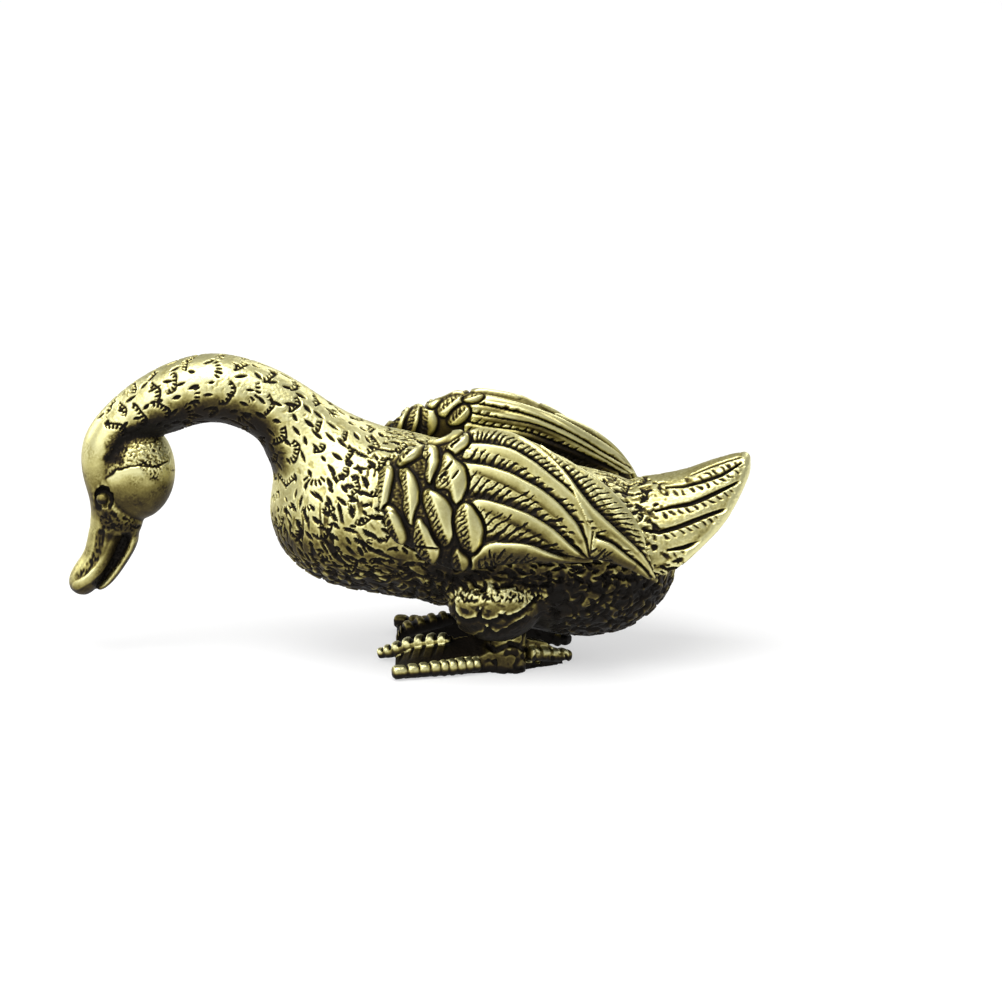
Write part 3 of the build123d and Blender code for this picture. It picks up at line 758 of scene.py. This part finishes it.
def head_relief(points, place):
    """The cheek's crack and crease, the eye's socket, the throat and the bill."""
    px, py = place.T
    outward = np.abs(points[:, 1])
    at_bill = ramp(py, 520, 530)
    outer = (1 - at_bill) * ramp(outward, 0.5, 1.3) + at_bill * ramp(outward, 0.1, 0.4)
    outer *= points[:, 0] < HEAD_X

    # Crack, and the crumbly surface above it
    above = -below_line(place, CHEEK_CRACK) + 1.3 * noise(place, 4.5, 28)
    lip = fade(above, 0.4, 4.0) * ramp(above, -0.8, 0.8)
    within = ramp(px, 104, 113) * fade(px, 166, 176)
    relief = within * (0.05 * fade(-above, 0, 6.0) * (above < 0) - 0.16 * lip)
    # Below the crack the cheek's upper part is made lighter, a painted highlight
    dark = within * (0.30 * lip - 0.20 * fade(-above, 1.0, 18.0) * (above < 0))
    dark += 0.16 * ramp(noise(points, 0.9, 23), -0.3, 0.7) * ramp(noise(points, 0.16, 27), -0.4, 0.5)
    upper = ramp(above, 0, 3.0) * fade(above, 22, 32) * within
    crumbs = ramp(noise(points, 0.22, 21), -0.05, 0.35)
    blots = ramp(noise(points, 0.55, 22), -0.10, 0.30)
    relief -= 0.07 * upper * crumbs
    dark += upper * (0.28 * crumbs * blots - 0.03 * fade(above, 6.0, 16.0))

    # Crease, and the crown, made brighter by painted light
    crease = distance_to(place, CHEEK_CREASE) + 3.0 * noise(place, 7.0, 25) + 2.6 * noise(place, 1.8, 0)
    crown = fade(px, 96, 112) * ramp(490 - py, 0, 20)
    relief -= 0.14 * fade(crease, 1.0, 13.0)
    dark += 0.52 * fade(crease, 1.0, 15.0) - 0.09 * crown

    # Socket of the eye, open at its lower side
    eye_x, eye_y = (place - np.array(EYE_PLACE)).T
    ring = np.hypot(eye_x * 1.15, eye_y * 0.86) + 2.0 * noise(place, 5.5, 29)
    gap = fade(np.abs(np.arctan2(eye_y, eye_x) - 1.45), 0.25, 0.6)
    socket = fade(np.abs(ring - EYE_RING), 1.0, 3.4) * (1 - gap)
    relief -= 0.20 * socket
    dark += 0.20 * socket + 0.34 * fade(ring + 3.0 * noise(place, 5.0, 26), 8.0, 17.0)

    # Bill, and the dark patches, painted shade at the throat and in the mouth's gap
    bill = ramp(py, 529, 536)
    rim = near(place, BILL_RIM, 2.8, 5.4)
    relief += bill * 0.07 * rim
    dark += bill * (0.09 - 0.03 * rim)
    furrow = near(place, BILL_FURROW, 2.0, 6.0) * (1 - rim)
    streaks = ramp(noise(place * np.array([1.0, 0.5]), 3.0, 24), -0.2, 0.3)
    relief -= furrow * (0.08 + 0.08 * streaks)
    dark += furrow * (0.14 + 0.26 * streaks)
    for outline, strength in HEAD_DARK_PATCHES:
        spot = patch(place, outline, 2.2) * (1 - bill * rim)
        dark += strength * spot * (0.65 + 0.45 * crumbs)
        relief -= 0.12 * spot * crumbs
    return relief * outer, dark * outer


def tail_relief(points, normals, place):
    """Feathers that run out from the rump inside a smooth rim, with a pitted root."""
    px = place[:, 0]
    top = ramp(normals[:, 2], -0.25, 0.1)
    field = ramp(distance_to(place, TAIL_OUTLINE), TAIL_RIM * 0.7, TAIL_RIM * 1.3)
    relief = -0.10 * field
    dark = np.zeros(len(points))
    for i, (line, width) in enumerate(TAIL_GROOVES):
        distance, along, below = line_distance(place, line)
        signed = np.where(below, distance, -distance)
        taper = 0.5 + 0.5 * np.sin(math.pi * np.clip(along / along.max(), 0.03, 0.97))
        groove = fade(distance, width * 0.3 * taper, width * taper) * field
        slope = fade(-signed, 0, 9.0) * (signed < 0) * taper * field
        phase = (along - 0.6 * distance) / 8.0 + 0.35 * noise(place, 8.0, 50 + i)
        barb = fade(strokes(phase), 0.08, 0.22) * ramp(signed, 2.0, 4.0)
        barb = barb * fade(signed, 7.0, 10.5) * field * taper
        relief -= 0.28 * groove + 0.10 * slope + 0.16 * barb
        dark += 0.30 * groove + 0.10 * slope + 0.30 * barb
    root = fade(px + 5.0 * noise(place, 9.0, 62), 650, 672)
    pits = ramp(noise(points, 0.58, 60), 0.12, 0.36)
    relief -= 0.20 * pits * root
    dark += 0.36 * pits * root
    relief += 0.02 * noise(points, 0.22, 61)
    # Faces of the tail that look down get painted shade, and the smooth rim near the tail's end is made
    # lighter against it
    edge = (1 - field) * ramp(px, 672, 690)
    return relief * top - 0.05 * (1 - top), dark * top + 0.25 * (1 - top) * (1 - edge) - 0.30 * edge


# Eyes and feet

def bead_relief(points, normals):
    """A slightly rough surface with a few pits, for the eyes."""
    return 0.015 * noise(points, 0.25, 70) - 0.04 * ramp(noise(points, 0.5, 71), 0.25, 0.6), BEAD_DARK


def foot_relief(points, normals):
    """A foot dark with painted shade, with ribs down its web, bright joints of its toes whose tops get a
    painted highlight, and a rough shank.
    """
    x, _, z = points.T
    front = fade(x, 5.4, 6.6)
    web = front * ramp(normals[:, 2], 0.2, 0.6)
    relief = -0.2 * near(picture(points), THIGH_EDGES[-1], 1.0, 4.0) * (1 - front)
    relief -= 0.14 * ramp(noise(points, 0.6, 80), 0.1, 0.45) * (1 - front)
    toes = np.zeros(len(points))
    for route, lengths, sizes, width, height, fill, _ in (OUTER_TOE, HIND_TOE, INNER_TOE):
        reach, along, _ = line_distance(points, route)
        ends = np.concatenate([[0], np.cumsum(lengths)]) * line_length(route) / sum(lengths)
        joint = np.clip(np.searchsorted(ends, along) - 1, 0, len(lengths) - 1)
        off = np.abs(along - (ends[joint] + ends[joint + 1]) / 2) / (ends[joint + 1] - ends[joint])
        reach /= np.asarray(sizes)[joint]
        shell = ramp(reach, 0.33 * height, 0.44 * height) * fade(reach, 0.60 * width, 0.70 * width)
        toes = np.maximum(toes, shell * fade(off, 0.40 * fill, 0.52 * fill))
    # Only the tops of the joints are made bright, a painted highlight
    toes *= ramp(normals[:, 2], -0.25, 0.45)
    # The ribs of the web run down from the joints of the inner toe, which comes last above
    ribs = web * fade(reach, 0.6, 2.8)
    relief -= 0.14 * ramp(off, 0.26, 0.42) * ribs
    # Painted shade on the sole, the web and the shank; the web's ribs stay a little lighter
    shade = 0.42 * ramp(0.75 - z, 0, 0.5) + (0.36 - 0.16 * fade(off, 0.24, 0.40) * ribs) * web
    shade += 0.09 * (1 - front)
    return relief + 0.015 * noise(points, 0.22, 81), (1 - toes) * shade - 0.42 * toes


def far_foot_shade(points, normals):
    """The far foot gets painted shade on all but its outer side."""
    return 0.58 * (1 - ramp(normals[:, 1], 0.30, 0.75) * ramp(points[:, 1], 5.0, 6.6))


def far_foot_shape(points):
    """The far foot's inner toe ends behind the near one's tip."""
    drawn = points.copy()
    inner = fade(points[:, 1], 3.4, 4.4)
    drawn[:, 0] -= np.minimum(points[:, 0] - FAR_TIP, 0) * FAR_SHRINK * inner
    return drawn


def along_route(route, distance):
    """Place and direction at a distance along a route."""
    for a, b in zip(route[:-1], route[1:]):
        length = math.dist(a, b)
        if distance <= length:
            break
        distance -= length
    return a + (b - a) * (distance / length), (b - a) / length


def toe_joints(route, lengths, sizes, width, height, fill, thick):
    """Blocks with rounded edges in a row along a toe's middle line, from its tip to its root, on a core."""
    route = [np.array(point, dtype=float) for point in route]
    span, total = line_length(route), sum(lengths)
    parts = []
    place = 0.0
    for length, size in zip(lengths, sizes):
        share = (place + length / 2) / total
        part = fill if len(parts) > 2 else TIP_FILL
        parts.append(toe_joint(*along_route(route, share * span), length * part, width * size, height * size))
        place += length
        core, run = along_route(route, min(place / total, CORE_END) * span)
        core[2] -= 0.06 * height
        parts.append(toe_joint(core, run, length * 1.2, thick * width * size, 0.93 * thick * height * size))
    return parts


def toe_joint(middle, run, length, width, height):
    """A closed block with rounded edges round a middle, along a direction."""
    side = np.cross((0, 0, 1), run)
    side /= np.linalg.norm(side)
    up = np.cross(run, side)
    rings, turns = 10, 16
    points = []
    for i in range(rings + 1):
        tilt = math.pi * (i / rings - 0.5)
        x = squared(math.sin(tilt), 0.6) * length / 2
        r = max(abs(math.cos(tilt)), 0.01) ** 0.45
        for j in range(turns):
            turn = 2 * math.pi * j / turns
            y = squared(math.cos(turn), 0.75) * r * width / 2
            z = squared(math.sin(turn), 0.75) * r * height / 2
            points.append(middle + run * x + side * y + up * z)
    faces = [(0, j + 1, j) for j in range(1, turns - 1)]
    last = rings * turns
    faces += [(last, last + j, last + j + 1) for j in range(1, turns - 1)]
    for i in range(rings):
        for j in range(turns):
            a, b = i * turns + j, i * turns + (j + 1) % turns
            faces += [(a, b, b + turns), (a, b + turns, a + turns)]
    return np.array(points), np.array(faces)


def squared(value, power):
    """A sine or cosine whose circle becomes the squarer, the smaller the power is."""
    return math.copysign(abs(value) ** power, value)


# Materials

def node(tree, kind, *inputs, **values):
    """A shader node with its settings and inputs, which are values or other nodes' outputs."""
    made = tree.nodes.new("ShaderNode" + kind)
    for key, value in [*values.items(), *enumerate(inputs)]:
        if isinstance(key, str) and hasattr(made, key):
            setattr(made, key, value)
            continue
        target = made.inputs[key.replace("_", " ") if isinstance(key, str) else key]
        if isinstance(value, bpy.types.NodeSocket):
            tree.links.new(value, target)
        else:
            target.default_value = value
    return made


def new_material(name):
    """A material with an empty node tree, and the tree."""
    material = bpy.data.materials.new(name)
    material.use_nodes = True
    material.node_tree.nodes.clear()
    return material, material.node_tree


def brass_material(name):
    """Brass that is bright where it was brushed and keeps a dark patina in its hollows, with painted shade
    and painted highlights from its attribute.
    """
    material, tree = new_material(name)
    total = node(tree, "Attribute", attribute_name="polish_and_painted_light").outputs["Fac"]
    place = node(tree, "TexCoord").outputs["Object"]
    grain, clouds, specks = (
        node(tree, "TexNoise", Vector=place, Scale=scale, Detail=detail, Roughness=rough).outputs["Fac"]
        for scale, detail, rough in ((5200.0, 4.0, 0.6), (620.0, 5.0, 0.55), (2100.0, 3.0, 0.7)))
    for texture, weight in ((grain, 0.16), (clouds, 0.30), (specks, 0.16)):
        shifted = node(tree, "Math", texture, 0.5, operation="SUBTRACT").outputs[0]
        total = node(tree, "Math", shifted, weight, total, operation="MULTIPLY_ADD").outputs[0]
    colours = node(tree, "ValToRGB", Fac=total)
    stops = colours.color_ramp.elements
    while len(stops) < len(BRASS_COLOURS):
        stops.new(0.5)
    for stop, (position, colour) in zip(stops, BRASS_COLOURS):
        stop.position = position
        stop.color = (*colour, 1)
    metal = node(tree, "MapRange", Value=total, From_Min=0.10, From_Max=0.45, To_Min=0.80, To_Max=1.0)
    rough = node(tree, "MapRange", Value=total, From_Min=0.15, From_Max=0.95, To_Min=0.60, To_Max=0.40)
    bump = node(tree, "Bump", Strength=0.35, Distance=0.00003, Height=grain)
    shader = node(tree, "BsdfPrincipled", Base_Color=colours.outputs["Color"], Normal=bump.outputs["Normal"],
                  Metallic=metal.outputs["Result"], Roughness=rough.outputs["Result"])
    node(tree, "OutputMaterial", Surface=shader.outputs["BSDF"])
    return material


def floor_material():
    """White with soft shadows that partly glows where it is seen, also in a mirror or through glass."""
    material, tree = new_material("white_floor")
    path = node(tree, "LightPath").outputs
    seen = node(tree, "Math", path["Is Camera Ray"], path["Is Glossy Ray"], operation="MAXIMUM").outputs[0]
    seen = node(tree, "Math", seen, path["Is Transmission Ray"], operation="MAXIMUM").outputs[0]
    part = node(tree, "Math", seen, FLOOR_GLOW, operation="MULTIPLY").outputs[0]
    shade = node(tree, "BsdfDiffuse", Color=(0.93, 0.93, 0.93, 1)).outputs["BSDF"]
    glow = node(tree, "Emission", Color=(1, 1, 1, 1), Strength=1.0).outputs["Emission"]
    node(tree, "OutputMaterial", Surface=node(tree, "MixShader", part, shade, glow).outputs["Shader"])
    return material


# Pieces

BRASS = brass_material("antique_brass")


def finished(name, points, faces, moved, dark, edges, nodes):
    """A shown piece: points moved by the relief, with an attribute for how brightly each is brushed, which
    also carries painted shade and painted highlights.
    """
    facing = normals_of(points, faces)
    shaped = points + facing * moved[:, None]
    shaped[:, 2] = np.maximum(shaped[:, 2], 0)
    normals = normals_of(shaped, faces)
    small = ((shaped - smoothed(shaped, edges, FINE_ROUNDS)) * normals).sum(axis=1)
    large = ((shaped - smoothed(shaped, edges, BROAD_ROUNDS)) * normals).sum(axis=1)
    level = moved - smoothed(moved, edges, LEVEL_ROUNDS)
    polish_and_painted_light = 0.78 + 2.4 * np.clip(small, -0.10, 0.06) + 1.2 * np.clip(large, -0.3, 0.15)
    polish_and_painted_light += 1.1 * np.clip(level, -0.35, 0.12) + 0.4 * np.clip(moved + 0.05, -0.35, 0.1)
    # Painted shade: faces that look down, and parts lower than 8.8 mm behind the head, are darker
    under = ramp(-facing[:, 2], -0.30, 0.50)
    polish_and_painted_light -= 0.46 * under + 0.24 * ramp(8.8 - points[:, 2], 0, 3.0) * (points[:, 0] > -17) + dark
    mesh = mesh_from(shaped / MM_PER_M, faces, name)
    layer = mesh.attributes.new("polish_and_painted_light", "FLOAT", "POINT")
    layer.data.foreach_set("value", np.clip(polish_and_painted_light, 0, 1).astype(np.float32))
    mesh.shade_smooth()
    mesh.materials.append(BRASS)
    piece = added(name, mesh)
    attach(piece, "root")
    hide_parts(*nodes)


def carved(name, parts, voxel, rounds, relief, nodes, twin=None, seams=None, shape=None, shade=None):
    """A dense carved piece around meshes, and its mirror image, which can get its own shape and shade."""
    points, faces = remeshed(parts, voxel * DETAIL)
    edges = edges_of(faces)
    points = smoothed(points, edges, rounds)
    if seams:
        share = seams(points)[:, None]
        points = points + share * (smoothed(points, edges, SEAM_ROUNDS) - points)
    moved, dark = relief(points, normals_of(points, faces))
    finished(name, points, faces, moved, dark, edges, nodes)
    if twin:
        points, faces = points * np.array([1, -1, 1]), faces[:, ::-1]
        if shape:
            points = shape(points)
            dark = dark + shade(points, normals_of(points, faces))
        finished(twin[0], points, faces, moved, dark, edges, twin[1])


def seam_share(points):
    """How much of the joints round the tail's root and the bill's root is smoothed away."""
    x, _, z = points.T
    tail = ramp(x, 16.2, 17.4) * fade(x, 19.2, 20.6) * ramp(z, 9.0, 11.0)
    off = np.abs(z - 10.1 - 0.10 * (x + 23))
    bill = fade(off, 0.4, 1.1) * (x < -20)
    return np.maximum(tail, 0.8 * bill)


trunk_nodes = ["body", "neck", "head", "upper_bill", "lower_bill", "tail", "left_thigh", "right_thigh"]
carved("duck_skin", [node_arrays(name) for name in trunk_nodes], 0.086, 8, trunk_relief, trunk_nodes,
       seams=seam_share)
carved("left_wing_feathers", [node_arrays("left_wing")], 0.068, 12, wing_relief, ["left_wing"],
       ("right_wing_feathers", ["right_wing"]), rib_share)
carved("left_eye_bead", [node_arrays("left_eye")], 0.04, 1, bead_relief, ["left_eye"],
       ("right_eye_bead", ["right_eye"]))
web_points, web_faces = node_arrays("left_foot")
web_points[:, 0] -= np.minimum(web_points[:, 0] - WEB_FRONT, 0) * (1 - WEB_SHRINK)
left_foot = [(web_points, web_faces)]
for toe in (OUTER_TOE, INNER_TOE, HIND_TOE):
    left_foot += toe_joints(*toe)
foot_nodes = ["foot", "outer_toe", "inner_toe", "hind_toe"]
carved("left_webbed_foot", left_foot, 0.07, 2, foot_relief, ["left_" + name for name in foot_nodes],
       ("right_webbed_foot", ["right_" + name for name in foot_nodes]), shape=far_foot_shape,
       shade=far_foot_shade)

# Floor, lights, world and camera

floor_mesh = bpy.data.meshes.new("floor")
floor_mesh.from_pydata([(x, y, 0) for x, y in ((-3, -3), (3, -3), (3, 3), (-3, 3))], [], [(0, 1, 2, 3)])
floor_mesh.materials.append(floor_material())
floor = added("floor", floor_mesh)
floor.location.z = -FLOOR_GAP

for name, place, size, power in SOFTBOXES:
    data = bpy.data.lights.new(name, "AREA")
    data.shape = "RECTANGLE"
    data.size, data.size_y = size
    data.energy = power
    lamp = added(name, data)
    lamp.location = place
    lamp.rotation_euler = (Vector(LIGHT_AIM) - Vector(place)).to_track_quat("-Z", "Y").to_euler()

world = bpy.data.worlds.new("studio")
world.use_nodes = True
background = world.node_tree.nodes["Background"].inputs
background["Color"].default_value = (1, 1, 1, 1)
background["Strength"].default_value = WORLD_STRENGTH
bpy.context.scene.world = world
bpy.context.scene.view_settings.view_transform = "Standard"

# The camera looks at the point that lies in the middle of the picture
half = IMAGE_SIZE / 2
aim_x = (half - PIXEL_X0) / PIXELS_PER_MM
aim_z = (PIXEL_Y0 - half) / PIXELS_PER_MM / math.cos(ELEVATION)
aim = Vector((aim_x, 0, aim_z)) / MM_PER_M
camera_data = bpy.data.cameras.new("camera")
camera_data.lens = 300
camera_data.sensor_width = 36
camera_data.clip_start = 0.01
width = IMAGE_SIZE / PIXELS_PER_MM / MM_PER_M
away = width * camera_data.lens / camera_data.sensor_width
camera = added("camera", camera_data)
camera.location = aim + away * Vector((0, -math.cos(ELEVATION), math.sin(ELEVATION)))
camera.rotation_euler = (math.pi / 2 - ELEVATION, 0, 0)
bpy.context.scene.camera = camera
